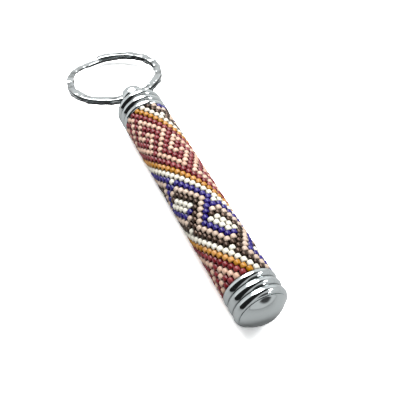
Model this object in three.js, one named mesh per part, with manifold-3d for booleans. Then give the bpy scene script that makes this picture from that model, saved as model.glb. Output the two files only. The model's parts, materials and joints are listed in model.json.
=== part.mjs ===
// Keyring mezuzah case: a bead-woven tube with a ribbed ferrule at each end, a dome that closes one
// end, a screw-off ball finial at the other, a rolled parchment inside, and a hammered split ring
// through the ball.
//
// Frame: millimetres. The case lies on its side. +Y runs along its axis towards the ball finial, +Z is
// up, and the origin is on the axis at the middle of the object's volume. Pieces are built about the
// middle of the beadwork, and the whole group is moved at the end.
import * as THREE from 'three';
import { mergeVertices } from 'three/addons/utils/BufferGeometryUtils.js';
import Module from 'manifold-3d';

const wasm = await Module();
wasm.setup();

// ---- Driving dimensions, mm ----

const SEGMENTS = 36; // facets round each turned piece

// The beadwork is rings of beads whose holes lie along the case.
const BEAD_DIAMETER = 1.6;
const BEAD_LENGTH = 1.29;
const BEADS_PER_RING = 22;
const BEAD_RINGS = 45;
const VOLUME_CENTRE = 3.5; // from the middle of the beadwork, towards the finial

const TUBE_WALL = 0.5;
const TUBE_FIT_GAP = 0.1; // between the tube and the back of the beads
const PRESS_GAP = 0.05; // between pieces that are pressed or soldered together
const END_GAP = 0.1; // between the beadwork and each cap

// Three round ribs on each ferrule. The first rib is cut off by the mouth.
const RIB_COUNT = 3;
const RIB_PITCH = 2.3;
const RIB_CREST_RADIUS = 6.45;
const RIB_HEIGHT = 0.5;
const FIRST_CREST = 0.8;
const RIB_STEPS = 4;
const FERRULE_BORE_RADIUS = 5.4;

const DOME_BASE_RADIUS = 5.7;
const DOME_HEIGHT = 2.5;
const DOME_STEPS = 6;
const TUBE_DEPTH_IN_DOME = 5.0;

const BALL_RADIUS = 3.6;
const BALL_CENTRE = 10.5; // from the mouth of the cap
const BALL_STEPS = 10;
const NECK_RADIUS = 2.3;
const SHOULDER_RADIUS = 5.7;
const SHOULDER_HEIGHT = 0.5;
const SHOULDER_STEPS = 4;
const RING_HOLE_RADIUS = 1.9;
const HOLE_CENTRE = 11.5; // from the mouth of the cap, so above the middle of the ball
const COUNTERSINK = 0.35;

// One single-start thread, cut with clearance in the finial's skirt.
const THREAD_LEAD = 1.0;
const MALE_CREST_RADIUS = 4.6;
const THREAD_DEPTH = 0.45;
const CREST_WIDTH = 0.2; // as a fraction of the lead, like the next two
const FLANK_WIDTH = 0.3;
const FLANK_CLEARANCE = 0.09;
const THREAD_CLEARANCE = 0.15; // radial
const THREAD_SEGMENTS = 24;
const COLLAR_BORE_RADIUS = 3.6;
const COLLAR_SPIGOT_LENGTH = 4;
const COLLAR_START = 0.7; // where the male thread starts, from the end of the beadwork
const COLLAR_LENGTH = 4.3;
const SKIRT_START = 1.2; // where the female thread starts, from the mouth of the cap
const SKIRT_LENGTH = 4.1;

const THREAD_RANGE = [0, 6]; // stretch past the end of the beadwork that any thread can cover

const WASHER_START = 0.4;
const WASHER_THICKNESS = 0.6;
const WASHER_INNER_RADIUS = 4.72;
const WASHER_OUTER_RADIUS = 5.25;

// Split ring: flat wire, two coils, one above the other.
const RING_OUTER_RADIUS = 14.3;
const WIRE_WIDTH = 2.2;
const WIRE_HEIGHT = 0.94;
const WIRE_CHAMFER = 0.2;
const COIL_GAP = 0.1;
const RING_SEGMENTS = 36;
const STEP_SEGMENTS = 4; // length of the step from the lower coil to the upper one
const WIRE_END = 24; // segment where the lower coil starts, counted from the finial
const RING_SKEW = 4; // degrees that the ring sits askew in its hole
const RING_DROOP = 10; // degrees down to its far side, which is a little above the ground

const SCROLL_LENGTH = 62;
const SCROLL_OUTER_RADIUS = 3.3;
const SCROLL_INNER_RADIUS = 1.1;
const SCROLL_TURNS = 3.5;
const SCROLL_STEPS_PER_TURN = 16;
const PARCHMENT_THICKNESS = 0.3;

// ---- Derived dimensions ----

const BEAD_CIRCLE_RADIUS = (BEADS_PER_RING * BEAD_DIAMETER) / (2 * Math.PI);
const BEADWORK_OUTER_RADIUS = BEAD_CIRCLE_RADIUS + BEAD_DIAMETER / 2;
const BEADWORK_INNER_RADIUS = BEAD_CIRCLE_RADIUS - BEAD_DIAMETER / 2;
const BEADWORK_LENGTH = BEAD_RINGS * BEAD_LENGTH;
const BEADWORK_END = BEADWORK_LENGTH / 2;
const TUBE_OUTER_RADIUS = BEADWORK_INNER_RADIUS - TUBE_FIT_GAP;
const TUBE_INNER_RADIUS = TUBE_OUTER_RADIUS - TUBE_WALL;
const CAP_MOUTH = BEADWORK_END + END_GAP; // how far each cap's mouth is from the middle
const FERRULE_LENGTH = FIRST_CREST + (RIB_COUNT - 0.5) * RIB_PITCH;
const MALE_ROOT_RADIUS = MALE_CREST_RADIUS - THREAD_DEPTH;
const RING_MEAN_RADIUS = RING_OUTER_RADIUS - WIRE_WIDTH / 2;
const STACK_HEIGHT = 2 * WIRE_HEIGHT + COIL_GAP;
// The wire bends through its hole, so the ring's centre is set in by half of that bend.
const RING_CENTRE = RING_MEAN_RADIUS - BALL_RADIUS ** 2 / (4 * RING_MEAN_RADIUS);

// ---- Materials ----

const chrome = () => new THREE.MeshStandardMaterial({ color: 0xc9ccce, roughness: 0.08, metalness: 1 });
const brass = () => new THREE.MeshStandardMaterial({ color: 0xc79a4b, roughness: 0.3, metalness: 1 });
const beads = () => new THREE.MeshStandardMaterial({ color: 0x7a3a40, roughness: 0.35, metalness: 0 });
const rubber = () => new THREE.MeshStandardMaterial({ color: 0x1d1d1f, roughness: 0.8, metalness: 0 });
const parchment = () => new THREE.MeshStandardMaterial({ color: 0xe6d9b8, roughness: 0.75, metalness: 0 });

// ---- Helpers ----

const radians = THREE.MathUtils.degToRad;

// Turned piece about Y. Its profile is [radius, y] points, with the outside running towards +Y, and it either
// starts and ends on the axis or is closed here.
function turned(profile, segments = SEGMENTS) {
  const points = profile.map(([radius, y]) => new THREE.Vector2(radius, y));
  const first = points[0];
  const last = points[points.length - 1];
  const endsOnAxis = first.x === 0 && last.x === 0;
  if (!endsOnAxis) points.push(first.clone());
  return new THREE.LatheGeometry(points, segments);
}

// Points of a round stretch of a profile. Angles are in degrees from the radial direction towards +Y.
function arc(centreRadius, centreY, radius, fromAngle, toAngle, steps) {
  const points = [];
  for (let i = 0; i <= steps; i++) {
    const angle = radians(fromAngle + ((toAngle - fromAngle) * i) / steps);
    points.push([centreRadius + radius * Math.cos(angle), centreY + radius * Math.sin(angle)]);
  }
  return points;
}

function ringProfile(innerRadius, outerRadius, fromY, toY) {
  return [[innerRadius, fromY], [outerRadius, fromY], [outerRadius, toY], [innerRadius, toY]];
}

function toSolid(geometry) {
  const bare = geometry.clone();
  bare.deleteAttribute('normal');
  bare.deleteAttribute('uv');
  const merged = mergeVertices(bare);
  const vertProperties = new Float32Array(merged.attributes.position.array);
  const triVerts = new Uint32Array(merged.index.array);
  return new wasm.Manifold(new wasm.Mesh({ numProp: 3, vertProperties, triVerts }));
}

function toGeometry(solid) {
  const mesh = solid.getMesh();
  const geometry = new THREE.BufferGeometry();
  geometry.setAttribute('position', new THREE.BufferAttribute(new Float32Array(mesh.vertProperties), 3));
  geometry.setIndex(new THREE.BufferAttribute(new Uint32Array(mesh.triVerts), 1));
  geometry.computeVertexNormals();
  return geometry;
}

function named(name, geometry, material) {
  const mesh = new THREE.Mesh(geometry, material);
  mesh.name = name;
  return mesh;
}

// ---- Beadwork and tube ----

// The woven beads as one plain sleeve, with one facet for each bead and each gap.
function beadSleeve() {
  const profile = ringProfile(BEADWORK_INNER_RADIUS, BEADWORK_OUTER_RADIUS, -BEADWORK_END, BEADWORK_END);
  return named('bead_sleeve', turned(profile, 2 * BEADS_PER_RING), beads());
}

function innerTube() {
  const bottom = -(CAP_MOUTH + TUBE_DEPTH_IN_DOME);
  const profile = ringProfile(TUBE_INNER_RADIUS, TUBE_OUTER_RADIUS, bottom, BEADWORK_END);
  return named('inner_tube', turned(profile), brass());
}

// ---- Ribbed ferrules: each is made with its mouth at y = 0 and its far end towards +Y ----

function ribbedOutside() {
  const halfPitch = RIB_PITCH / 2;
  const ribRadius = (halfPitch ** 2 + RIB_HEIGHT ** 2) / (2 * RIB_HEIGHT);
  const halfAngle = THREE.MathUtils.radToDeg(Math.asin(halfPitch / ribRadius));
  const mouthAngle = THREE.MathUtils.radToDeg(Math.asin(FIRST_CREST / ribRadius));
  const points = [];
  for (let rib = 0; rib < RIB_COUNT; rib++) {
    const crest = FIRST_CREST + rib * RIB_PITCH;
    const startAngle = rib === 0 ? -mouthAngle : -halfAngle;
    const ribPoints = arc(RIB_CREST_RADIUS - ribRadius, crest, ribRadius, startAngle, halfAngle, RIB_STEPS);
    points.push(...ribPoints.slice(rib === 0 ? 0 : 1));
  }
  return points;
}

function ferrule(name) {
  const profile = [
    [FERRULE_BORE_RADIUS, FERRULE_LENGTH],
    [FERRULE_BORE_RADIUS, 0],
    ...ribbedOutside(),
  ];
  return named(name, turned(profile), chrome());
}

// ---- Dome: a cup on the end of the tube, with its low dome outside the ferrule ----

function bottomDome() {
  const cupRadius = FERRULE_BORE_RADIUS - PRESS_GAP;
  const boreRadius = TUBE_OUTER_RADIUS + PRESS_GAP;
  const base = FERRULE_LENGTH + PRESS_GAP;
  const sphereRadius = (DOME_BASE_RADIUS ** 2 + DOME_HEIGHT ** 2) / (2 * DOME_HEIGHT);
  const sphereCentre = base + DOME_HEIGHT - sphereRadius;
  const baseAngle = 90 - THREE.MathUtils.radToDeg(Math.asin(DOME_BASE_RADIUS / sphereRadius));
  const domePoints = arc(0, sphereCentre, sphereRadius, baseAngle, 90, DOME_STEPS).slice(0, -1);
  const profile = [
    [0, TUBE_DEPTH_IN_DOME + TUBE_WALL],
    [boreRadius, TUBE_DEPTH_IN_DOME + TUBE_WALL],
    [boreRadius, TUBE_WALL],
    [cupRadius, TUBE_WALL],
    [cupRadius, base],
    ...domePoints,
    [0, base + DOME_HEIGHT],
  ];
  return named('bottom_dome', turned(profile), chrome());
}

// ---- Thread ----

// One pitch of the thread as [radius, fraction of the lead] points, with the crest in the middle.
function threadPitch(rootRadius, crestRadius, crestWidth) {
  const crestStart = (1 - crestWidth) / 2;
  const crestEnd = (1 + crestWidth) / 2;
  return [
    [rootRadius, crestStart - FLANK_WIDTH],
    [crestRadius, crestStart],
    [crestRadius, crestEnd],
    [rootRadius, crestEnd + FLANK_WIDTH],
  ];
}

// A threaded rod about Y, long enough to be trimmed to any part of THREAD_RANGE. Its outside is the
// pitch profile swept along the helix, and a cone of facets closes each end. Every rod has the same
// phase, so they mesh.
function threadedRod(pitchProfile) {
  const onePitch = pitchProfile.length;
  const turns = Math.ceil((THREAD_RANGE[1] - THREAD_RANGE[0]) / THREAD_LEAD) + 2;
  const rows = turns * onePitch;
  const startY = THREAD_RANGE[0] - 1.5 * THREAD_LEAD;
  const positions = [];
  for (let segment = 0; segment < THREAD_SEGMENTS; segment++) {
    const turn = segment / THREAD_SEGMENTS;
    const angle = 2 * Math.PI * turn;
    for (let row = 0; row <= rows; row++) {
      const [radius, fraction] = pitchProfile[row % onePitch];
      const y = startY + (Math.floor(row / onePitch) + fraction + turn) * THREAD_LEAD;
      positions.push(radius * Math.sin(angle), y, radius * Math.cos(angle));
    }
  }
  const bottomTip = positions.length / 3;
  const topTip = bottomTip + 1;
  positions.push(0, startY - THREAD_LEAD, 0);
  positions.push(0, startY + (turns + 2) * THREAD_LEAD, 0);

  // After a full turn a row is one pitch further up, so the seam joins rows that are one pitch apart.
  const vertex = (segment, row) => {
    const pastSeam = segment === THREAD_SEGMENTS;
    return pastSeam ? row + onePitch : segment * (rows + 1) + row;
  };
  const triangles = [];
  const bottomLoop = [];
  const topLoop = [];
  for (let segment = 0; segment < THREAD_SEGMENTS; segment++) {
    const isLast = segment === THREAD_SEGMENTS - 1;
    const endRow = isLast ? rows - onePitch : rows;
    for (let row = 0; row < endRow; row++) {
      const corner = vertex(segment, row);
      const opposite = vertex(segment + 1, row + 1);
      triangles.push(corner, vertex(segment + 1, row), opposite);
      triangles.push(corner, opposite, vertex(segment, row + 1));
    }
    bottomLoop.push(vertex(segment, 0));
    topLoop.push(vertex(segment, rows));
  }
  for (let step = 0; step < onePitch; step++) {
    bottomLoop.push(vertex(0, onePitch - step));
    topLoop.push(vertex(THREAD_SEGMENTS - 1, rows - 1 - step));
  }
  const closeEnd = (loop, tip) => {
    loop.forEach((corner, k) => triangles.push(corner, tip, loop[(k + 1) % loop.length]));
  };
  closeEnd(bottomLoop, bottomTip);
  closeEnd(topLoop.reverse(), topTip);

  const geometry = new THREE.BufferGeometry();
  geometry.setAttribute('position', new THREE.BufferAttribute(new Float32Array(positions), 3));
  geometry.setIndex(triangles);
  return geometry;
}

// The collar is pressed into the top of the tube. y = 0 is the end of the beadwork.
function threadedCollar() {
  const spigotRadius = TUBE_INNER_RADIUS - PRESS_GAP;
  const threadEnd = COLLAR_START + COLLAR_LENGTH;
  const rod = toSolid(threadedRod(threadPitch(MALE_ROOT_RADIUS, MALE_CREST_RADIUS, CREST_WIDTH)));
  const sleeve = ringProfile(COLLAR_BORE_RADIUS, MALE_CREST_RADIUS + THREAD_LEAD, COLLAR_START, threadEnd);
  const thread = rod.intersect(toSolid(turned(sleeve)));
  const body = turned([
    [COLLAR_BORE_RADIUS, -COLLAR_SPIGOT_LENGTH],
    [spigotRadius, -COLLAR_SPIGOT_LENGTH],
    [spigotRadius, PRESS_GAP],
    [MALE_CREST_RADIUS, PRESS_GAP],
    [MALE_CREST_RADIUS, COLLAR_START],
    [COLLAR_BORE_RADIUS, COLLAR_START],
  ]);
  return named('threaded_collar', toGeometry(thread.add(toSolid(body))), brass());
}

function sealWasher() {
  const profile = ringProfile(WASHER_INNER_RADIUS, WASHER_OUTER_RADIUS, 0, WASHER_THICKNESS);
  return named('seal_washer', turned(profile), rubber());
}

// ---- Ball finial: skirt with the female thread, shoulder, neck and cross-drilled ball ----

function crossHole() {
  const mouth = Math.sqrt(BALL_RADIUS ** 2 - RING_HOLE_RADIUS ** 2);
  const flareStart = mouth - COUNTERSINK;
  const flareEnd = BALL_RADIUS + COUNTERSINK;
  const flareRadius = RING_HOLE_RADIUS + flareEnd - flareStart;
  const drill = turned([
    [0, -flareEnd],
    [flareRadius, -flareEnd],
    [RING_HOLE_RADIUS, -flareStart],
    [RING_HOLE_RADIUS, flareStart],
    [flareRadius, flareEnd],
    [0, flareEnd],
  ]);
  drill.rotateZ(Math.PI / 2);
  drill.translate(0, HOLE_CENTRE, 0);
  return toSolid(drill);
}

function femaleThread() {
  const rootRadius = MALE_ROOT_RADIUS + THREAD_CLEARANCE;
  const crestRadius = MALE_CREST_RADIUS + THREAD_CLEARANCE;
  const crestWidth = CREST_WIDTH + 2 * FLANK_CLEARANCE;
  const rod = toSolid(threadedRod(threadPitch(rootRadius, crestRadius, crestWidth)));
  const bore = turned([
    [0, 0],
    [FERRULE_BORE_RADIUS, 0],
    [FERRULE_BORE_RADIUS, SKIRT_START + SKIRT_LENGTH + END_GAP],
    [0, SKIRT_START + SKIRT_LENGTH + END_GAP],
  ]);
  return rod.intersect(toSolid(bore)).translate([0, -END_GAP, 0]);
}

// Made with the mouth of the ferrule at y = 0.
function ballFinial() {
  const skirtRadius = FERRULE_BORE_RADIUS - PRESS_GAP;
  const shoulder = FERRULE_LENGTH + PRESS_GAP;
  const shoulderPoints = [];
  for (let step = 0; step <= SHOULDER_STEPS; step++) {
    const angle = (Math.PI / 2) * (step / SHOULDER_STEPS);
    const radius = NECK_RADIUS + (SHOULDER_RADIUS - NECK_RADIUS) * Math.cos(angle);
    shoulderPoints.push([radius, shoulder + SHOULDER_HEIGHT * Math.sin(angle)]);
  }
  const neckAngle = THREE.MathUtils.radToDeg(Math.acos(NECK_RADIUS / BALL_RADIUS));
  const ballPoints = arc(0, BALL_CENTRE, BALL_RADIUS, -neckAngle, 90, BALL_STEPS).slice(0, -1);
  const outside = toSolid(turned([
    [0, SKIRT_START],
    [skirtRadius, SKIRT_START],
    [skirtRadius, shoulder],
    ...shoulderPoints,
    ...ballPoints,
    [0, BALL_CENTRE + BALL_RADIUS],
  ]));
  const finial = outside.subtract(femaleThread()).subtract(crossHole());
  return named('ball_finial', toGeometry(finial), chrome());
}

// ---- Split ring: made with the hole's centre at the origin and the ring lying flat towards +Y ----

function wireSection() {
  const halfWidth = WIRE_WIDTH / 2;
  const halfHeight = WIRE_HEIGHT / 2;
  return [
    [halfWidth, -halfHeight + WIRE_CHAMFER],
    [halfWidth, halfHeight - WIRE_CHAMFER],
    [halfWidth - WIRE_CHAMFER, halfHeight],
    [-halfWidth + WIRE_CHAMFER, halfHeight],
    [-halfWidth, halfHeight - WIRE_CHAMFER],
    [-halfWidth, -halfHeight + WIRE_CHAMFER],
    [-halfWidth + WIRE_CHAMFER, -halfHeight],
    [halfWidth - WIRE_CHAMFER, -halfHeight],
  ];
}

function splitRing() {
  const section = wireSection();
  const corners = section.length;
  const coilHeight = (WIRE_HEIGHT + COIL_GAP) / 2;
  const stepStart = RING_SEGMENTS - STEP_SEGMENTS - 1;
  const lastStation = RING_SEGMENTS + stepStart - 1;
  const positions = [];
  for (let station = 0; station <= lastStation; station++) {
    const angle = (2 * Math.PI * (station + WIRE_END)) / RING_SEGMENTS;
    const climb = THREE.MathUtils.clamp((station - stepStart) / STEP_SEGMENTS, 0, 1);
    const centreZ = coilHeight * (2 * climb - 1);
    for (const [out, up] of section) {
      const radius = RING_MEAN_RADIUS + out;
      positions.push(radius * Math.sin(angle), RING_CENTRE - radius * Math.cos(angle), centreZ + up);
    }
  }
  const triangles = [];
  for (let station = 0; station < lastStation; station++) {
    for (let corner = 0; corner < corners; corner++) {
      const nextCorner = (corner + 1) % corners;
      const here = station * corners;
      const ahead = here + corners;
      triangles.push(here + corner, ahead + corner, ahead + nextCorner);
      triangles.push(here + corner, ahead + nextCorner, here + nextCorner);
    }
  }
  const last = lastStation * corners;
  for (let corner = 1; corner < corners - 1; corner++) {
    triangles.push(0, corner, corner + 1);
    triangles.push(last, last + corner + 1, last + corner);
  }
  const geometry = new THREE.BufferGeometry();
  geometry.setAttribute('position', new THREE.BufferAttribute(new Float32Array(positions), 3));
  geometry.setIndex(triangles);
  geometry.rotateZ(radians(RING_SKEW));
  geometry.computeVertexNormals();
  return named('split_ring', geometry, chrome());
}

// ---- Parchment scroll: a strip rolled into a spiral ----

function parchmentScroll() {
  const steps = Math.round(SCROLL_TURNS * SCROLL_STEPS_PER_TURN);
  const outerEdge = [];
  const innerEdge = [];
  for (let step = 0; step <= steps; step++) {
    const angle = (2 * Math.PI * step) / SCROLL_STEPS_PER_TURN;
    const radius = THREE.MathUtils.lerp(SCROLL_INNER_RADIUS, SCROLL_OUTER_RADIUS, step / steps);
    const inside = radius - PARCHMENT_THICKNESS;
    outerEdge.push(new THREE.Vector2(radius * Math.cos(angle), radius * Math.sin(angle)));
    innerEdge.unshift(new THREE.Vector2(inside * Math.cos(angle), inside * Math.sin(angle)));
  }
  const shape = new THREE.Shape([...outerEdge, ...innerEdge]);
  const geometry = new THREE.ExtrudeGeometry(shape, { depth: SCROLL_LENGTH, bevelEnabled: false, steps: 1 });
  geometry.rotateX(-Math.PI / 2);
  geometry.translate(0, -SCROLL_LENGTH / 2, 0);
  return named('parchment_scroll', geometry, parchment());
}

// ---- Assembly ----

const bottomEnd = new THREE.Group();
bottomEnd.rotation.x = Math.PI;
bottomEnd.position.y = -CAP_MOUTH;
bottomEnd.add(ferrule('bottom_ferrule'), bottomDome());

const collar = threadedCollar();
collar.position.y = BEADWORK_END;

const washer = sealWasher();
washer.position.y = WASHER_START;

const ring = splitRing();
ring.position.y = HOLE_CENTRE;
ring.rotation.x = -radians(RING_DROOP);

const topEnd = new THREE.Group();
topEnd.position.y = CAP_MOUTH;
topEnd.add(ferrule('top_ferrule'), ballFinial(), washer, ring);

const group = new THREE.Group();
group.position.y = -VOLUME_CENTRE;
group.add(beadSleeve(), innerTube(), parchmentScroll(), bottomEnd, collar, topEnd);

export default group;
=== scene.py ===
import json
import math
import random

import bmesh
import bpy
from mathutils import Matrix, Vector, noise


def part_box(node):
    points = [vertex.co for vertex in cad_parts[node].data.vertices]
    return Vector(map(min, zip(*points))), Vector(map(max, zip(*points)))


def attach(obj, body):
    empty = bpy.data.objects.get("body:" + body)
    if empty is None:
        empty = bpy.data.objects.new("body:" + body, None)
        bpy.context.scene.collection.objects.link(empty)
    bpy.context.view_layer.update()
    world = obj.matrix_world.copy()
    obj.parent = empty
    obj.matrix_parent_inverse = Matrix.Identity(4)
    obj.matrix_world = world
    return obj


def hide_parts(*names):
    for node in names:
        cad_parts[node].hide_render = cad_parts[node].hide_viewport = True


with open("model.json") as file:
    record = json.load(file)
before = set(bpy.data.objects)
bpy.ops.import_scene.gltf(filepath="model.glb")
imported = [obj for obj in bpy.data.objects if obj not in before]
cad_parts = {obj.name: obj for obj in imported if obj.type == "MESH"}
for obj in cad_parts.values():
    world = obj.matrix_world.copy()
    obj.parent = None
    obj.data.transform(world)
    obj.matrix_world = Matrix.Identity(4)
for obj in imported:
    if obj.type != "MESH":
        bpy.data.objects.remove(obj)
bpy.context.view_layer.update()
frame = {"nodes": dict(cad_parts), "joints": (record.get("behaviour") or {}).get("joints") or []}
scene = bpy.context.scene

MM = 0.001

# ---- Sizes taken from the frame ----

sleeve_low, sleeve_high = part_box("bead_sleeve")
BEADWORK_START = sleeve_low.y
BEADWORK_END = sleeve_high.y
BEADWORK_RADIUS = sleeve_high.z
BEADWORK_MIDDLE = (BEADWORK_START + BEADWORK_END) / 2

BOTTOM_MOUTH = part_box("bottom_ferrule")[1].y
top_low, top_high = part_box("top_ferrule")
TOP_MOUTH = top_low.y
FERRULE_LENGTH = top_high.y - top_low.y
CREST_RADIUS = top_high.z

DOME_TIP = BOTTOM_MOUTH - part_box("bottom_dome")[0].y
BALL_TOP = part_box("ball_finial")[1].y - TOP_MOUTH
SKIRT_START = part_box("ball_finial")[0].y - TOP_MOUTH

joints = {joint["name"]: joint for joint in frame["joints"]}
HOLE_CENTRE = joints["ring_swing"]["pos_m"][1] - TOP_MOUTH

TUBE_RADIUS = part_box("inner_tube")[1].z

FLOOR_HEIGHT = -CREST_RADIUS

# ---- Driving dimensions that the frame's boxes don't show. Lengths along an end piece are measured
# from its mouth ----

TUBE_WALL = 0.5 * MM
PRESS_GAP = 0.05 * MM

BEADS_PER_RING = 22
BEAD_RINGS = 45

RIB_COUNT = 3
RIB_PITCH = 2.3 * MM
RIB_HEIGHT = 0.5 * MM
FIRST_CREST = 0.8 * MM
FERRULE_BORE = 5.4 * MM

DOME_BASE_RADIUS = 5.7 * MM
TUBE_DEPTH_IN_DOME = 5.0 * MM

BALL_RADIUS = 3.6 * MM
BALL_CENTRE = BALL_TOP - BALL_RADIUS
NECK_RADIUS = 2.3 * MM
SHOULDER_RADIUS = 5.7 * MM
SHOULDER_HEIGHT = 0.5 * MM
RING_HOLE_RADIUS = 1.9 * MM
COUNTERSINK = 0.35 * MM
SKIRT_LENGTH = 4.1 * MM
SKIRT_BORE = 4.75 * MM

RING_OUTER_RADIUS = 14.3 * MM
WIRE_WIDTH = 2.2 * MM
WIRE_HEIGHT = 0.94 * MM
COIL_GAP = 0.1 * MM
WIRE_START = 240.0  # degrees round the ring from the finial, where the lower coil starts
WIRE_TURN = 660.0  # degrees from end to end of the wire
STEP_START = 310.0  # degrees along the wire, where it starts to climb to the upper coil
STEP_LENGTH = 40.0  # degrees
RING_SKEW = 4.0  # degrees that the ring sits askew in its hole
RING_DROOP = 10.0  # degrees down to the ring's far side
HAMMER_MARK = 2.6 * MM  # typical distance between marks
RING_MEAN_RADIUS = RING_OUTER_RADIUS - WIRE_WIDTH / 2
RING_CENTRE = RING_MEAN_RADIUS - BALL_RADIUS ** 2 / (4 * RING_MEAN_RADIUS)

TURNED_SEGMENTS = 144


# ---- Object and mesh helpers ----

def add_object(name, data):
    """A new object in the scene that holds a mesh, a light or a camera."""
    thing = bpy.data.objects.new(name, data)
    scene.collection.objects.link(thing)
    return thing


def mesh_from_grid(name, rows, closed_rows, closed_columns, cap_ends=False):
    """A mesh from rows of points. Neighbouring rows are joined by quads."""
    mesh = bpy.data.meshes.new(name)
    width = len(rows[0])
    points = [point for row in rows for point in row]
    faces = []
    last_row = len(rows) if closed_rows else len(rows) - 1
    last_column = width if closed_columns else width - 1
    for row in range(last_row):
        next_row = (row + 1) % len(rows)
        for column in range(last_column):
            next_column = (column + 1) % width
            faces.append((
                row * width + column,
                row * width + next_column,
                next_row * width + next_column,
                next_row * width + column,
            ))
    if cap_ends:
        faces.append(tuple(reversed(range(width))))
        faces.append(tuple((len(rows) - 1) * width + column for column in range(width)))
    mesh.from_pydata(points, [], faces)
    return mesh


def finish_mesh(mesh, sharp_degrees=35.0):
    """Merges points that meet, turns faces outwards and shades smooth between sharp edges."""
    work = bmesh.new()
    work.from_mesh(mesh)
    bmesh.ops.remove_doubles(work, verts=work.verts, dist=1e-7)
    bmesh.ops.dissolve_degenerate(work, edges=work.edges, dist=1e-8)
    bmesh.ops.recalc_face_normals(work, faces=work.faces)
    work.to_mesh(mesh)
    work.free()
    mesh.shade_smooth()
    mesh.set_sharp_from_angle(angle=math.radians(sharp_degrees))


def arc(centre_radius, centre_y, radius, from_degrees, to_degrees, steps):
    """Profile points of a round stretch. Angles run from the radial direction towards +Y."""
    points = []
    for step in range(steps + 1):
        angle = math.radians(from_degrees + (to_degrees - from_degrees) * step / steps)
        points.append((
            centre_radius + radius * math.cos(angle),
            centre_y + radius * math.sin(angle),
        ))
    return points


def turned_mesh(name, profile, segments=TURNED_SEGMENTS):
    """A closed profile of (radius, y) points swept round the Y axis."""
    rows = []
    for segment in range(segments):
        angle = 2 * math.pi * segment / segments
        rows.append([
            (radius * math.sin(angle), y, radius * math.cos(angle)) for radius, y in profile
        ])
    mesh = mesh_from_grid(name, rows, closed_rows=True, closed_columns=True)
    finish_mesh(mesh)
    return mesh


def place_end(piece, mouth, flip):
    """Moves an end piece, made with its mouth at y = 0 and its far end towards +Y, to its mouth."""
    turn = Matrix.Rotation(math.pi, 4, "X") if flip else Matrix.Identity(4)
    piece.data.transform(Matrix.Translation((0, mouth, 0)) @ turn)


# ---- Material helpers ----

def colour(red, green, blue):
    """A colour given as it looks on screen, 0 to 255, as linear values."""
    linear = []
    for value in (red, green, blue):
        share = value / 255
        linear.append(share / 12.92 if share <= 0.04045 else ((share + 0.055) / 1.055) ** 2.4)
    return (*linear, 1.0)


class Nodes:
    """Short calls for building a node tree."""

    def __init__(self, material):
        self.tree = material.node_tree
        self.shader = self.tree.nodes["Principled BSDF"]

    def add(self, kind, **settings):
        node = self.tree.nodes.new(kind)
        for key, value in settings.items():
            if key in node.inputs:
                node.inputs[key].default_value = value
            else:
                setattr(node, key, value)
        return node

    def link(self, output, target):
        self.tree.links.new(output, target)

    def noise(self, scale, detail=3.0, roughness=0.55):
        coordinates = self.add("ShaderNodeTexCoord")
        texture = self.add("ShaderNodeTexNoise")
        texture.inputs["Scale"].default_value = scale
        texture.inputs["Detail"].default_value = detail
        texture.inputs["Roughness"].default_value = roughness
        self.link(coordinates.outputs["Object"], texture.inputs["Vector"])
        return texture

    def ramp(self, source, *stops):
        ramp = self.add("ShaderNodeValToRGB")
        elements = ramp.color_ramp.elements
        while len(elements) < len(stops):
            elements.new(0.5)
        for element, (position, value) in zip(elements, stops):
            element.position = position
            element.color = value if len(value) == 4 else (*value, 1.0)
        self.link(source, ramp.inputs["Fac"])
        return ramp

    def spread(self, source, low, high):
        """Turns a value from 0 to 1 into one from low to high."""
        spread = self.add("ShaderNodeMapRange")
        spread.inputs["To Min"].default_value = low
        spread.inputs["To Max"].default_value = high
        self.link(source, spread.inputs["Value"])
        return spread.outputs["Result"]

    def bump(self, height, strength, distance):
        bump = self.add("ShaderNodeBump")
        bump.inputs["Strength"].default_value = strength
        bump.inputs["Distance"].default_value = distance
        self.link(height, bump.inputs["Height"])
        self.link(bump.outputs["Normal"], self.shader.inputs["Normal"])


def new_material(name, **inputs):
    material = bpy.data.materials.new(name)
    material.use_nodes = True
    nodes = Nodes(material)
    for key, value in inputs.items():
        nodes.shader.inputs[key.replace("_", " ")].default_value = value
    return material, nodes


# ---- Beads ----

# Painted shade that darkens each bead towards the gaps between the beads.
CREVICE_SHADE = (0.22, 0.20, 0.19)
CREVICE_HEIGHTS = (0.1, 0.72)  # where it is full and where it ends, in bead radii from the middle
STREAK_SHADE = (0.62, 0.62, 0.62)
WHITE = (1.0, 1.0, 1.0)


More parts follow.
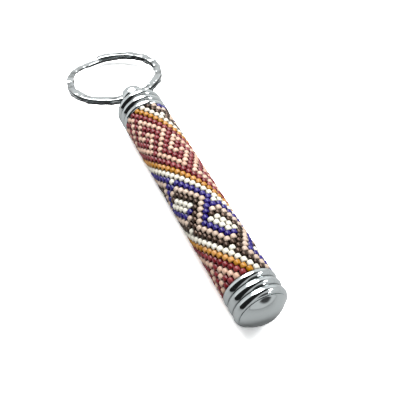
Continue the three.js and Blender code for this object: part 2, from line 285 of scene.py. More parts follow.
def bead_material(name, base, metallic=0.0, roughness=0.22, variation=0.22, sheen_tint=None):
    """Glass bead: a glossy coat over a body colour that differs a little from bead to bead, with
    painted shade that darkens it towards the gaps between the beads."""
    material, nodes = new_material(
        name, Metallic=metallic, Roughness=roughness, Specular_IOR_Level=0.22,
        Coat_Weight=0.22, Coat_Roughness=0.07,
    )
    tone = nodes.add("ShaderNodeAttribute", attribute_name="bead_tone")
    hue = nodes.add("ShaderNodeHueSaturation")
    hue.inputs["Color"].default_value = base
    nodes.link(nodes.spread(tone.outputs["Fac"], 1 - variation, 1 + variation), hue.inputs["Value"])
    nodes.link(nodes.spread(tone.outputs["Fac"], 1.06, 0.92), hue.inputs["Saturation"])
    streaks = nodes.noise(1400.0, detail=2.0)
    shade = nodes.add("ShaderNodeMix", data_type="RGBA", blend_type="MULTIPLY")
    shade.inputs["Factor"].default_value = 0.35
    nodes.link(hue.outputs["Color"], shade.inputs["A"])
    streak_tone = nodes.ramp(streaks.outputs["Fac"], (0.3, STREAK_SHADE), (0.7, WHITE))
    nodes.link(streak_tone.outputs["Color"], shade.inputs["B"])
    # Painted shade: bead_height darkens the colour towards the gaps between the beads.
    depth = nodes.add("ShaderNodeAttribute", attribute_name="bead_height")
    painted_crevice_shade = nodes.add("ShaderNodeMix", data_type="RGBA", blend_type="MULTIPLY")
    painted_crevice_shade.inputs["Factor"].default_value = 1.0
    nodes.link(shade.outputs["Result"], painted_crevice_shade.inputs["A"])
    dark_until, light_from = CREVICE_HEIGHTS
    gap_shade = nodes.ramp(depth.outputs["Fac"], (dark_until, CREVICE_SHADE), (light_from, WHITE))
    nodes.link(gap_shade.outputs["Color"], painted_crevice_shade.inputs["B"])
    body_colour = painted_crevice_shade.outputs["Result"]
    # Painted sheen: the colour turns towards sheen_tint where the surface turns away from the view.
    if sheen_tint:
        facing = nodes.add("ShaderNodeLayerWeight")
        facing.inputs["Blend"].default_value = 0.35
        tint = nodes.add("ShaderNodeMix", data_type="RGBA")
        tint.inputs["B"].default_value = sheen_tint
        nodes.link(body_colour, tint.inputs["A"])
        nodes.link(nodes.spread(facing.outputs["Facing"], 0.0, 0.4), tint.inputs["Factor"])
        body_colour = tint.outputs["Result"]
    nodes.link(body_colour, nodes.shader.inputs["Base Color"])
    nodes.link(
        nodes.spread(streaks.outputs["Fac"], roughness * 0.7, roughness * 1.5),
        nodes.shader.inputs["Roughness"],
    )
    nodes.bump(streaks.outputs["Fac"], 0.12, 0.02 * MM)
    return material


BEAD_MATERIALS = {
    "white": bead_material("bead_white", colour(252, 248, 232), roughness=0.3, variation=0.06),
    "amber": bead_material("bead_amber", colour(204, 142, 52), roughness=0.25, variation=0.2),
    "burgundy": bead_material(
        "bead_burgundy", colour(136, 36, 40), roughness=0.2, variation=0.3,
        sheen_tint=colour(140, 62, 88),
    ),
    "rose": bead_material("bead_rose", colour(236, 196, 172), roughness=0.3, variation=0.12),
    "tan": bead_material("bead_tan", colour(224, 200, 180), roughness=0.3, variation=0.12),
    "bronze": bead_material(
        "bead_bronze", colour(66, 48, 36), metallic=0.6, roughness=0.25, variation=0.4
    ),
    "blue": bead_material(
        "bead_blue", colour(36, 16, 122), roughness=0.16, variation=0.25,
        sheen_tint=colour(70, 52, 160),
    ),
}

# The design runs as diagonal bands. Across them, one repeat is: three border lines, a key band, three
# border lines, and a band of nested hooks round a white bar.
BORDER = ("white", "amber", "burgundy")
KEY_ROWS = 6
KEY_REPEAT = 7
HOOK_ROWS = 8
HOOK_REPEAT = 8
HOOK_COLOURS = ("blue", "tan", "bronze")
HOOK_FOOT = 5
DESIGN_ROWS = 2 * len(BORDER) + KEY_ROWS + HOOK_ROWS
KEY_PHASE = 2
HOOK_PHASE = 2
FIRST_ROW = -1

# The tube is 22 beads round and the design repeats every 20, so on the hidden side each band steps
# down by one bead at two columns. From one repeat to the next, the design moves on along the bands.
FIRST_SLIP_COLUMN = 15
REPEAT_SHIFT = BEADS_PER_RING + 2


def key_colour(along, row):
    """Two hooks, one hanging from the upper border and one standing on the lower, each the other's
    half turn, so the ground between them reads as a running key."""
    def on_hook(place, depth):
        stem = place == 0 and depth < KEY_ROWS - 1
        foot = depth == KEY_ROWS - 2 and place <= 3
        tip = depth == KEY_ROWS - 3 and place == 3
        return stem or foot or tip

    upper = on_hook(along % KEY_REPEAT, row)
    lower = on_hook((-along + KEY_REPEAT - 2) % KEY_REPEAT, KEY_ROWS - 1 - row)
    return "burgundy" if upper or lower else "rose"


def hook_colour(along, row):
    """Three nested hooks, each one bead further left and lower than the last, round a white bar.
    A hook is a head along the top, a stem, a foot and one bead turned in at each end."""
    place = along % HOOK_REPEAT
    for nest, name in enumerate(HOOK_COLOURS):
        depth = row - nest
        past_stem = (place + nest) % HOOK_REPEAT
        head = depth == 0 and 2 <= place <= HOOK_REPEAT - nest
        stem = past_stem == 0 and 0 <= depth <= HOOK_FOOT
        foot = depth == HOOK_FOOT and past_stem <= 4 + nest
        turned_in = (place, depth) in ((1, 1), (5, HOOK_FOOT - 1))
        if head or stem or foot or turned_in:
            return name
    return "white"


def design_colour(ring, column):
    """Colour of the bead at a ring, counted from the finial, and a half-bead column, counted from the
    top of the tube towards +X."""
    slip = 1 if column >= FIRST_SLIP_COLUMN else 0
    row = (ring - column) // 2 + FIRST_ROW + slip
    along = (ring + column) // 2 + slip
    while row >= DESIGN_ROWS:
        row -= DESIGN_ROWS
        along += REPEAT_SHIFT
    while row < 0:
        row += DESIGN_ROWS
        along -= REPEAT_SHIFT
    if row < len(BORDER):
        return BORDER[row]
    row -= len(BORDER)
    if row < KEY_ROWS:
        return key_colour(along + KEY_PHASE, row)
    row -= KEY_ROWS
    if row < len(BORDER):
        return BORDER[len(BORDER) - 1 - row]
    row -= len(BORDER)
    return hook_colour(along + HOOK_PHASE, row)


BEAD_LENGTH = (BEADWORK_END - BEADWORK_START) / BEAD_RINGS
BEAD_RADIUS = BEADWORK_RADIUS / (1 + BEADS_PER_RING / math.pi)
BEAD_CIRCLE = BEADWORK_RADIUS - BEAD_RADIUS
BEAD_HOLE = 0.42 * BEAD_RADIUS
BEAD_RIM = 0.30 * BEAD_RADIUS
BEAD_FILL = 0.99  # share of its room that a bead takes up
BEAD_SEGMENTS = 20
FIRST_BEAD_ANGLE = math.radians(3.3)

# How much the beads differ from a perfect lattice.
BEAD_DRIFT = 0.025 * BEAD_LENGTH
BEAD_SINK = 0.05 * BEAD_RADIUS
BEAD_ROCK = math.radians(2.5)
BEAD_LEAN = math.radians(2.0)
THINNEST_BEAD = 0.965
SHORTEST_BEAD = 0.96


def bead_profile():
    """Section of one cylinder bead: short, with rounded rims and a round hole."""
    half = BEAD_FILL * BEAD_LENGTH / 2
    outer = BEAD_FILL * BEAD_RADIUS
    rim = BEAD_RIM
    return [
        (BEAD_HOLE, -half + rim * 0.5),
        (BEAD_HOLE + rim * 0.35, -half),
        (outer - rim, -half),
        (outer - rim * 0.45, -half + rim * 0.14),
        (outer - rim * 0.12, -half + rim * 0.5),
        (outer, -half + rim),
        (outer, half - rim),
        (outer - rim * 0.12, half - rim * 0.5),
        (outer - rim * 0.45, half - rim * 0.14),
        (outer - rim, half),
        (BEAD_HOLE + rim * 0.35, half),
        (BEAD_HOLE, half - rim * 0.5),
    ]


def bead_place(ring, column, chance):
    """Where one bead sits, with the slight tilt and size change of hand weaving."""
    angle = FIRST_BEAD_ANGLE + math.pi * column / BEADS_PER_RING
    y = BEADWORK_END - (ring + 0.5) * BEAD_LENGTH
    y += chance.uniform(-BEAD_DRIFT, BEAD_DRIFT)
    wander = Matrix.Rotation(chance.uniform(-BEAD_ROCK, BEAD_ROCK), 4, "X")
    wander @= Matrix.Rotation(chance.uniform(-BEAD_LEAN, BEAD_LEAN), 4, "Z")
    width = chance.uniform(THINNEST_BEAD, 1.0)
    length = chance.uniform(SHORTEST_BEAD, 1.0)
    height = chance.uniform(THINNEST_BEAD, 1.0)
    stretch = Matrix.Diagonal((width, length, height, 1.0))
    inset = chance.uniform(0.0, BEAD_SINK)
    return (
        Matrix.Rotation(angle, 4, "Y")
        @ Matrix.Translation((0, y, BEAD_CIRCLE - inset))
        @ wander
        @ stretch
    )


def one_bead():
    """Points and faces of one bead, with its hole along Y."""
    profile = bead_profile()
    width = len(profile)
    points = []
    faces = []
    for segment in range(BEAD_SEGMENTS):
        angle = 2 * math.pi * segment / BEAD_SEGMENTS
        for radius, y in profile:
            points.append(Vector((radius * math.sin(angle), y, radius * math.cos(angle))))
        here = segment * width
        ahead = (segment + 1) % BEAD_SEGMENTS * width
        for corner in range(width):
            after = (corner + 1) % width
            faces.append((here + corner, here + after, ahead + after, ahead + corner))
    return points, faces


def place_beads():
    """The place and tone of every bead, listed by colour."""
    chance = random.Random(11)
    places = {name: [] for name in BEAD_MATERIALS}
    for ring in range(BEAD_RINGS):
        for step in range(BEADS_PER_RING):
            column = 2 * step + ring % 2 - BEADS_PER_RING
            tone = chance.random()
            places[design_colour(ring, column)].append((bead_place(ring, column, chance), tone))
    return places


def bead_mesh(name, beads):
    """All the beads of one colour, as separate closed shells in one mesh."""
    bead_points, bead_faces = one_bead()
    points, faces, tones = [], [], []
    for matrix, tone in beads:
        first = len(points)
        points.extend(matrix @ point for point in bead_points)
        faces.extend(tuple(first + corner for corner in face) for face in bead_faces)
        tones.extend([tone] * len(bead_points))
    mesh = bpy.data.meshes.new(name)
    mesh.from_pydata(points, [], faces)
    heights = [(math.hypot(point.x, point.z) - BEAD_CIRCLE) / BEAD_RADIUS for point in points]
    for attribute_name, values in (("bead_tone", tones), ("bead_height", heights)):
        attribute = mesh.attributes.new(attribute_name, "FLOAT", "POINT")
        attribute.data.foreach_set("value", values)
    mesh.shade_smooth()
    return mesh


def build_beads():
    """Every bead of one colour is one piece."""
    for name, beads in place_beads().items():
        mesh = bead_mesh("beads_" + name, beads)
        mesh.materials.append(BEAD_MATERIALS[name])
        piece = add_object("beads_" + name, mesh)
        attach(piece, "case")
        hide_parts("bead_sleeve")


# ---- Polished caps ----

SMEAR_SCALE = 260.0


def chrome_material(name, tint, roughness, bump_strength, bump_scale):
    """Plated metal: mirror bright, with faint smears and a very slight waviness. It is darker where a
    point attribute holds painted shade."""
    material, nodes = new_material(name, Metallic=1.0, Roughness=roughness)
    smears = nodes.noise(SMEAR_SCALE, detail=5.0, roughness=0.62)
    nodes.link(
        nodes.spread(smears.outputs["Fac"], roughness * 0.5, roughness * 1.9),
        nodes.shader.inputs["Roughness"],
    )
    shade = nodes.ramp(
        smears.outputs["Fac"],
        (0.3, tuple(0.94 * value for value in tint[:3])),
        (0.7, tint[:3]),
    )
    # Painted shade: the colour is scaled down by the point attribute that holds it.
    tone = nodes.add("ShaderNodeAttribute", attribute_name="painted_shade")
    shaded_metal = nodes.add("ShaderNodeVectorMath", operation="SCALE")
    nodes.link(shade.outputs["Color"], shaded_metal.inputs[0])
    nodes.link(nodes.spread(tone.outputs["Fac"], 1.0, 0.0), shaded_metal.inputs["Scale"])
    nodes.link(shaded_metal.outputs["Vector"], nodes.shader.inputs["Base Color"])
    waves = nodes.noise(bump_scale, detail=2.0)
    nodes.bump(waves.outputs["Fac"], bump_strength, 0.05 * MM)
    return material


CHROME = chrome_material("polished_chrome", colour(212, 219, 220), 0.08, 0.16, 420.0)
RING_CHROME = chrome_material("hammered_chrome", colour(222, 228, 229), 0.08, 0.2, 700.0)


def darken(mesh, share_at):
    """Stores on each point how much of the metal's brightness the painted shade takes there, from 0 to
    1.
    """
    mesh.attributes.new("painted_shade", "FLOAT", "POINT")
    values = [share_at(vertex) for vertex in mesh.vertices]
    mesh.attributes["painted_shade"].data.foreach_set("value", values)


# Painted shade in the grooves between the ribs.
GROOVE_PAINTED_SHADE = 0.8
GROOVE_LINE = (0.62, 0.92)  # where the dark line starts and is full, as a share of the groove's depth


def groove_painted_shade(vertex):
    """Painted shade: dark lines at the bottom of the grooves between the ribs, and none at the
    ferrule's end.
    """
    place = vertex.co
    if place.y > FERRULE_LENGTH - RIB_PITCH / 4:
        return 0.0
    depth = (CREST_RADIUS - math.hypot(place.x, place.z)) / RIB_HEIGHT
    start, full = GROOVE_LINE
    return GROOVE_PAINTED_SHADE * min(1.0, max(0.0, (depth - start) / (full - start)))


def rib_outside():
    """Outer profile of a ferrule: three round ribs, the first one cut off by the mouth."""
    half_pitch = RIB_PITCH / 2
    radius = (half_pitch ** 2 + RIB_HEIGHT ** 2) / (2 * RIB_HEIGHT)
    half_angle = math.degrees(math.asin(half_pitch / radius))
    mouth_angle = math.degrees(math.asin(FIRST_CREST / radius))
    points = []
    for rib in range(RIB_COUNT):
        start = -mouth_angle if rib == 0 else -half_angle
        crest = FIRST_CREST + rib * RIB_PITCH
        rib_points = arc(CREST_RADIUS - radius, crest, radius, start, half_angle, 16)
        points.extend(rib_points[0 if rib == 0 else 1:])
    return points


def ferrule_profile():
    outside = rib_outside()
    lip = 0.15 * MM
    inside = [
        (outside[-1][0] - lip, FERRULE_LENGTH),
        (FERRULE_BORE, FERRULE_LENGTH),
        (FERRULE_BORE, lip),
        (FERRULE_BORE + lip, 0.0),
    ]
    mouth = (outside[0][0] - lip * 0.5, 0.0)
    start = (outside[0][0], lip * 0.5)
    return [mouth, start, *outside[1:-1], (outside[-1][0], FERRULE_LENGTH - lip * 0.4), *inside]


def build_ferrule(name, mouth, flip, body):
    mesh = turned_mesh(name, ferrule_profile())
    darken(mesh, groove_painted_shade)
    piece = add_object(name + "_polished", mesh)
    place_end(piece, mouth, flip)
    piece.data.materials.append(CHROME)
    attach(piece, body)
    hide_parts(name)


def build_dome():
    """The low dome that closes the bottom, and the cup that holds it on the tube."""
    base = FERRULE_LENGTH + PRESS_GAP
    height = DOME_TIP - base
    sphere = (DOME_BASE_RADIUS ** 2 + height ** 2) / (2 * height)
    base_angle = 90 - math.degrees(math.asin(DOME_BASE_RADIUS / sphere))
    cup = FERRULE_BORE - PRESS_GAP
    bore = TUBE_RADIUS + PRESS_GAP
    edge = 0.25 * MM
    edge_turn = 2.5
    dome = arc(0, DOME_TIP - sphere, sphere, base_angle + edge_turn, 90, 36)
    profile = [
        (0.0, TUBE_DEPTH_IN_DOME + TUBE_WALL),
        (bore, TUBE_DEPTH_IN_DOME + TUBE_WALL),
        (bore, TUBE_WALL),
        (cup, TUBE_WALL),
        (cup, base),
        (DOME_BASE_RADIUS - edge, base),
        (DOME_BASE_RADIUS - edge * 0.3, base + edge * 0.08),
        (DOME_BASE_RADIUS - edge * 0.04, base + edge * 0.3),
        *dome,
    ]
    piece = add_object("bottom_dome_polished", turned_mesh("bottom_dome", profile))
    place_end(piece, BOTTOM_MOUTH, True)
    piece.data.materials.append(CHROME)
    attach(piece, "case")
    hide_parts("bottom_dome")


def finial_outside():
    """Outer profile of the finial from its skirt to the top of the ball, with a soft neck."""
    skirt = FERRULE_BORE - PRESS_GAP
    shoulder = FERRULE_LENGTH + PRESS_GAP
    neck_angle = math.degrees(math.acos(NECK_RADIUS / BALL_RADIUS))
    points = [(skirt, shoulder)]
    steps = 16
    for step in range(steps + 1):
        angle = math.pi / 2 * step / steps
        points.append((
            NECK_RADIUS + (SHOULDER_RADIUS - NECK_RADIUS) * math.cos(angle),
            shoulder + SHOULDER_HEIGHT * math.sin(angle),
        ))
    points.extend(arc(0, BALL_CENTRE, BALL_RADIUS, -neck_angle, 90, 40))
    return points


def cross_drill():
    """The tool that cuts the ring's hole through the ball, flared at both mouths."""
    mouth = math.sqrt(BALL_RADIUS ** 2 - RING_HOLE_RADIUS ** 2)
    flare_start = mouth - 2 * COUNTERSINK
    flare_end = BALL_RADIUS + COUNTERSINK
    flare_height = 1.6 * COUNTERSINK
    steps = 8
    upper_half = []
    for step in range(steps + 1):
        share = step / steps
        y = flare_start + (flare_end - flare_start) * share
        upper_half.append((RING_HOLE_RADIUS + flare_height * share ** 2, y))
    lower_half = [(radius, -y) for radius, y in reversed(upper_half)]
    profile = [(0.0, -flare_end), *lower_half, *upper_half, (0.0, flare_end)]
    mesh = turned_mesh("cross_drill", profile, 96)
    turn = Matrix.Rotation(math.pi / 2, 4, "Z")
    mesh.transform(Matrix.Translation((0, TOP_MOUTH + HOLE_CENTRE, 0)) @ turn)
    return mesh


def cut(piece, tool_mesh):
    """Subtracts a mesh from a piece and applies the result."""
    tool = add_object("cutting_tool", tool_mesh)
    modifier = piece.modifiers.new("cut", "BOOLEAN")
    modifier.operation = "DIFFERENCE"
    modifier.solver = "EXACT"
    modifier.object = tool
    bpy.context.view_layer.update()
    finished = piece.evaluated_get(bpy.context.evaluated_depsgraph_get())
    result = bpy.data.meshes.new_from_object(finished)
    piece.modifiers.clear()
    piece.data = result
    bpy.data.objects.remove(tool)


def build_finial():
    """The ball, its neck and the skirt inside the ferrule, with a plain bore in place of its thread."""
    bore = SKIRT_BORE
    bore_end = SKIRT_START + SKIRT_LENGTH
    skirt = FERRULE_BORE - PRESS_GAP
    bevel = 0.2 * MM
    profile = [
        (0.0, bore_end),
        (bore, bore_end),
        (bore, SKIRT_START + bevel),
        (bore + bevel, SKIRT_START),
        (skirt - bevel, SKIRT_START),
        (skirt, SKIRT_START + bevel),
        *finial_outside(),
    ]
    piece = add_object("ball_finial_polished", turned_mesh("ball_finial", profile))
    place_end(piece, TOP_MOUTH, False)
    cut(piece, cross_drill())
    finish_mesh(piece.data, 32.0)
    piece.data.materials.append(CHROME)
    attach(piece, "cap")
    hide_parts("ball_finial")


# ---- Split ring ----

DENT_RADIUS = 0.7  # as a share of HAMMER_MARK, like the next two
ACROSS_WIRE = 0.35
BETWEEN_FACES = 2.0
DENT_NARROWS = 0.24
DENT_THINS = 0.50
PROUD_OUT = 1.03
PROUD_UP = 1.05
# Painted light on the ring: dark reflections on its upright walls and shade in its hammer marks.
WALL_PAINTED_SHADE = 0.9
WALL_SLOPES = (0.8, 0.4)  # a surface counts as flat above the first, as upright below the second
DENT_PAINTED_SHADE = 0.6
END_TAPER = 0.12
END_TAPER_LENGTH = 3.0  # degrees


def hammer_dent(angle, side, up):
    """Depth of the hammer marks, 0 to 1, at a place on the wire: shallow scoops that meet in ridges.
    side and up say which face of the wire, from -1 to 1."""
    reach = RING_MEAN_RADIUS / HAMMER_MARK
    across = side * ACROSS_WIRE + up * BETWEEN_FACES
    place = Vector((math.sin(angle) * reach, math.cos(angle) * reach, across))
    nearest = noise.voronoi(place, distance_metric="DISTANCE")[0][0]
    return max(0.0, 1.0 - (nearest / DENT_RADIUS) ** 2)


def wire_painted_shade(vertex):
    """Painted dark reflections on the upright walls of the wire, and some painted shade in the hammer
    marks.
    """
    place = vertex.co
    flat, upright = WALL_SLOPES
    steepness = (flat - abs(vertex.normal.z)) / (flat - upright)
    wall = WALL_PAINTED_SHADE * min(1.0, max(0.0, steepness))
    ahead = RING_CENTRE - place.y
    out = math.hypot(place.x, ahead) - RING_MEAN_RADIUS
    angle = math.atan2(place.x, ahead)
    dent = hammer_dent(angle, out / WIRE_WIDTH * 2, math.copysign(1.0, place.z))
    return max(wall, DENT_PAINTED_SHADE * dent ** 2)


def wire_outline(samples=40):
    """Round-cornered section of the flat wire, as (out, up) from its middle."""
    out_power = 0.36
    up_power = 0.54
    points = []
    for sample in range(samples):
        angle = 2 * math.pi * sample / samples
        across, along = math.cos(angle), math.sin(angle)
        out = WIRE_WIDTH / 2 * math.copysign(abs(across) ** out_power, across)
        up = WIRE_HEIGHT / 2 * math.copysign(abs(along) ** up_power, along)
        points.append((out, up))
    return points


def wire_section(turned_by, outline):
    """The points of the wire's section at a place given in degrees along the wire."""
    angle = math.radians(turned_by + WIRE_START)
    climb = min(1.0, max(0.0, (turned_by - STEP_START) / STEP_LENGTH))
    climb = climb * climb * (3 - 2 * climb)
    height = (WIRE_HEIGHT + COIL_GAP) / 2 * (2 * climb - 1)
    from_end = min(turned_by, WIRE_TURN - turned_by)
    taper = 1.0 - END_TAPER * max(0.0, 1.0 - from_end / END_TAPER_LENGTH)
    row = []
    for out, up in outline:
        dent = hammer_dent(angle, out / WIRE_WIDTH * 2, math.copysign(1.0, up + height))
        radius = RING_MEAN_RADIUS + out * taper * (PROUD_OUT - DENT_NARROWS * dent)
        row.append((
            radius * math.sin(angle),
            RING_CENTRE - radius * math.cos(angle),
            height + up * taper * (PROUD_UP - DENT_THINS * dent),
        ))
    return row


def build_split_ring():
    """Two turns of flat wire, one above the other, joined by a step. Its faces are hammered."""
    outline = wire_outline()
    stations = 560
    rows = [wire_section(WIRE_TURN * station / stations, outline) for station in range(stations + 1)]
    mesh = mesh_from_grid("split_ring", rows, closed_rows=False, closed_columns=True, cap_ends=True)
    finish_mesh(mesh, 50.0)
    darken(mesh, wire_painted_shade)
    skew = Matrix.Rotation(math.radians(RING_SKEW), 4, "Z")
    tilt = Matrix.Rotation(-math.radians(RING_DROOP), 4, "X")
    mesh.transform(Matrix.Translation((0, TOP_MOUTH + HOLE_CENTRE, 0)) @ tilt @ skew)
    mesh.materials.append(RING_CHROME)
    piece = add_object("split_ring_hammered", mesh)
    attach(piece, "ring")
    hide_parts("split_ring")


# ---- Materials for the pieces inside ----

def brass_material():
    material, nodes = new_material("turned_brass", Metallic=1.0, Roughness=0.28)
    marks = nodes.noise(900.0, detail=4.0)
    tone = nodes.ramp(
        marks.outputs["Fac"], (0.3, colour(168, 128, 62)), (0.7, colour(214, 172, 96))
    )
    nodes.link(tone.outputs["Color"], nodes.shader.inputs["Base Color"])
    nodes.link(nodes.spread(marks.outputs["Fac"], 0.2, 0.42), nodes.shader.inputs["Roughness"])
    nodes.bump(marks.outputs["Fac"], 0.15, 0.02 * MM)
    return material


def rubber_material():
    material, nodes = new_material("seal_rubber", Roughness=0.62, Specular_IOR_Level=0.3)
    grain = nodes.noise(2600.0, detail=3.0)
    tone = nodes.ramp(grain.outputs["Fac"], (0.3, colour(22, 22, 24)), (0.7, colour(44, 44, 47)))
    nodes.link(tone.outputs["Color"], nodes.shader.inputs["Base Color"])
    nodes.bump(grain.outputs["Fac"], 0.3, 0.02 * MM)
    return material


def parchment_material():
    material, nodes = new_material("parchment", Roughness=0.72, Subsurface_Weight=0.1)
    nodes.shader.inputs["Subsurface Radius"].default_value = (0.4 * MM, 0.25 * MM, 0.15 * MM)
    clouds = nodes.noise(180.0, detail=6.0, roughness=0.6)
    tone = nodes.ramp(
        clouds.outputs["Fac"],
        (0.25, colour(196, 168, 118)), (0.55, colour(226, 204, 158)), (0.8, colour(238, 222, 184)),
    )
    nodes.link(tone.outputs["Color"], nodes.shader.inputs["Base Color"])
    fibres = nodes.noise(1500.0, detail=4.0)
    nodes.bump(fibres.outputs["Fac"], 0.35, 0.03 * MM)
    return material


def set_material(node_name, material):
    mesh = frame["nodes"][node_name].data
    mesh.materials.clear()
    mesh.materials.append(material)


def finish_inside_pieces():
    brass = brass_material()
    set_material("inner_tube", brass)
    set_material("threaded_collar", brass)
    set_material("seal_washer", rubber_material())
    set_material("parchment_scroll", parchment_material())


# ---- Floor, light and camera ----

FLOOR_IN_REFLECTIONS = 0.46
FLOOR_ON_CAMERA = 2.7


def build_floor():
    """A plain pale sheet with a faint gloss. The camera sees it overexposed, so that only the contact
    shadows show, and the metal reflects it as pale grey. It is clear when seen from below."""
    half = 1.2
    mesh = bpy.data.meshes.new("floor")
    sides = ((-half, -half), (half, -half), (half, half), (-half, half))
    corners = [(x, y, FLOOR_HEIGHT) for x, y in sides]
    mesh.from_pydata(corners, [], [(0, 1, 2, 3)])
    material, nodes = new_material("floor_paper", Roughness=0.5, Specular_IOR_Level=0.2)
    grain = nodes.noise(900.0, detail=3.0)
    nodes.link(nodes.spread(grain.outputs["Fac"], 0.42, 0.6), nodes.shader.inputs["Roughness"])
    paths = nodes.add("ShaderNodeLightPath")
    nodes.link(
        nodes.spread(paths.outputs["Is Camera Ray"], FLOOR_IN_REFLECTIONS, FLOOR_ON_CAMERA),
        nodes.shader.inputs["Base Color"],
    )
    clear = nodes.add("ShaderNodeBsdfTransparent")
    side = nodes.add("ShaderNodeNewGeometry")
    surface = nodes.add("ShaderNodeMixShader")
    nodes.link(side.outputs["Backfacing"], surface.inputs["Fac"])
    nodes.link(nodes.shader.outputs["BSDF"], surface.inputs[1])
    nodes.link(clear.outputs["BSDF"], surface.inputs[2])
    nodes.link(surface.outputs["Shader"], nodes.tree.nodes["Material Output"].inputs["Surface"])
    mesh.materials.append(material)
    add_object("floor", mesh)


def aim(holder, target, azimuth, elevation, distance):
    """Places a light or camera at a distance from its target, in a direction given in degrees.
    Azimuth 0 is on the side of the dome, and 90 is on the +X side."""
    turn = math.radians(azimuth)
    rise = math.radians(elevation)
    back = Vector((
        math.sin(turn) * math.cos(rise), -math.cos(turn) * math.cos(rise), math.sin(rise)
    ))
    holder.location = target + back * distance
    holder.rotation_euler = back.to_track_quat("Z", "Y").to_euler()


def area_light(name, azimuth, elevation, distance, size, power):
    """A round soft light aimed at the middle of the beadwork."""
    light = bpy.data.lights.new(name, "AREA")
    light.shape = "DISK"
    light.size = size
    light.energy = power
    lamp = add_object(name, light)
    aim(lamp, Vector((0, BEADWORK_MIDDLE, 0)), azimuth, elevation, distance)


class WorldNodes:
    """Short calls for the world's node tree. Its directions are unit vectors, +Y towards the finial."""

    def __init__(self, world):
        self.tree = world.node_tree
        self.direction = self.tree.nodes.new("ShaderNodeTexCoord").outputs["Generated"]
        split = self.tree.nodes.new("ShaderNodeSeparateXYZ")
        self.tree.links.new(self.direction, split.inputs["Vector"])
        self.axes = split.outputs

    def step(self, value, start, end, low=0.0, high=1.0):
        """Runs smoothly from low to high as value goes from start to end."""
        step = self.tree.nodes.new("ShaderNodeMapRange")
        step.interpolation_type = "SMOOTHSTEP"
        step.inputs["From Min"].default_value = start
        step.inputs["From Max"].default_value = end
        step.inputs["To Min"].default_value = low
        step.inputs["To Max"].default_value = high
        self.tree.links.new(value, step.inputs["Value"])
        return step.outputs["Result"]

    def towards(self, direction):
        """How nearly a ray points in a direction: the cosine of the angle between them."""
        dot = self.tree.nodes.new("ShaderNodeVectorMath")
        dot.operation = "DOT_PRODUCT"
        dot.inputs[1].default_value = Vector(direction).normalized()
        self.tree.links.new(self.direction, dot.inputs[0])
        return dot.outputs["Value"]

    def scaled(self, value, factor):
        node = self.tree.nodes.new("ShaderNodeMath")
        node.operation = "MULTIPLY"
        node.inputs[1].default_value = factor
        self.tree.links.new(value, node.inputs[0])
        return node.outputs["Value"]

    def combine(self, operation, first, second):
        node = self.tree.nodes.new("ShaderNodeMath")
        node.operation = operation
        self.tree.links.new(first, node.inputs[0])
        self.tree.links.new(second, node.inputs[1])
        return node.outputs["Value"]


# Places in the room are given as parts of a unit direction, so they run from -1 to 1.
ARCH_NEAR = -0.34  # the arch's edge on the dome's side, in Y
ARCH_FAR = 0.42  # its edge on the finial's side, in Y
ARCH_EDGE = 0.05  # how soft its edges are
ARCH_SLANT = 0.62  # how fast its near edge moves towards +Y as X grows
ARCH_FADE = (0.5, 0.85)  # where it ends on the right, in X
NEAR_WALL = 0.68
FAR_WALL = 1.0
FAR_LOW = (0.68, 0.82)  # where the far wall grows dimmer, in Y
FAR_LOW_SHARE = 0.75
DARKEST = 0.015
SPOT_DIRECTION = (0.30, -0.78, 0.54)
SPOT_COSINES = (0.885, 0.945)  # its soft edge
SPOT_SHARE = 0.08


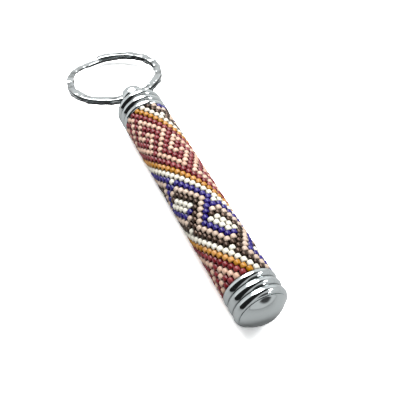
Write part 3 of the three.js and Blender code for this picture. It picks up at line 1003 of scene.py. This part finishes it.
def build_world():
    """A pale room, plain white where it is seen directly. Over the middle of the case runs a dark
    arch, and a dark spot stands beyond the dome. The polished metal picks both up as dark bands."""
    world = bpy.data.worlds.new("studio")
    world.use_nodes = True
    scene.world = world
    nodes = WorldNodes(world)
    tree = world.node_tree
    along = nodes.axes["Y"]
    slanted = nodes.combine("SUBTRACT", along, nodes.scaled(nodes.axes["X"], ARCH_SLANT))
    near_side = nodes.step(slanted, ARCH_NEAR - ARCH_EDGE, ARCH_NEAR + ARCH_EDGE, NEAR_WALL, 0.0)
    far_side = nodes.step(along, ARCH_FAR - ARCH_EDGE, ARCH_FAR + ARCH_EDGE, 0.0, FAR_WALL)
    low_far = nodes.step(along, *FAR_LOW, 1.0, FAR_LOW_SHARE)
    far_side = nodes.combine("MULTIPLY", far_side, low_far)
    walls = nodes.combine("ADD", near_side, far_side)
    right_side = nodes.step(nodes.axes["X"], *ARCH_FADE, 0.0, NEAR_WALL)
    walls = nodes.combine("MAXIMUM", walls, right_side)
    spot = nodes.step(nodes.towards(SPOT_DIRECTION), *SPOT_COSINES, 1.0, SPOT_SHARE)
    room = nodes.combine("MULTIPLY", walls, spot)
    darkest = tree.nodes.new("ShaderNodeValue")
    darkest.outputs[0].default_value = DARKEST
    room = nodes.combine("MAXIMUM", room, darkest.outputs[0])
    paths = tree.nodes.new("ShaderNodeLightPath")
    background = tree.nodes["Background"]
    shown = tree.nodes.new("ShaderNodeMix")
    shown.data_type = "RGBA"
    shown.inputs["B"].default_value = (1.0, 1.0, 1.0, 1.0)
    tree.links.new(paths.outputs["Is Camera Ray"], shown.inputs["Factor"])
    tree.links.new(room, shown.inputs["A"])
    tree.links.new(shown.outputs["Result"], background.inputs["Color"])


def build_lights():
    area_light("key_light", azimuth=176, elevation=52, distance=0.5, size=0.42, power=3.3)
    area_light("side_light", azimuth=84, elevation=42, distance=0.6, size=0.16, power=0.7)
    area_light("dome_glint", azimuth=44, elevation=34, distance=0.5, size=0.08, power=0.16)


VIEW_AZIMUTH = -25.4
VIEW_ELEVATION = 50.4
VIEW_DISTANCE = 150.9 * MM
LENS = 55.44
TARGET_FROM_MIDDLE = Vector((0.96, -2.33, 0.0)) * MM


def build_camera():
    camera = bpy.data.cameras.new("camera")
    camera.lens = LENS
    camera.sensor_width = 36.0
    camera.clip_start = 0.005
    camera.clip_end = 10.0
    holder = add_object("camera", camera)
    target = Vector((0, BEADWORK_MIDDLE, 0)) + TARGET_FROM_MIDDLE
    aim(holder, target, VIEW_AZIMUTH, VIEW_ELEVATION, VIEW_DISTANCE)
    scene.camera = holder
    scene.view_settings.view_transform = "Standard"


build_beads()
build_ferrule("bottom_ferrule", BOTTOM_MOUTH, True, "case")
build_ferrule("top_ferrule", TOP_MOUTH, False, "cap")
build_dome()
build_finial()
build_split_ring()
finish_inside_pieces()
build_floor()
build_world()
build_lights()
build_camera()
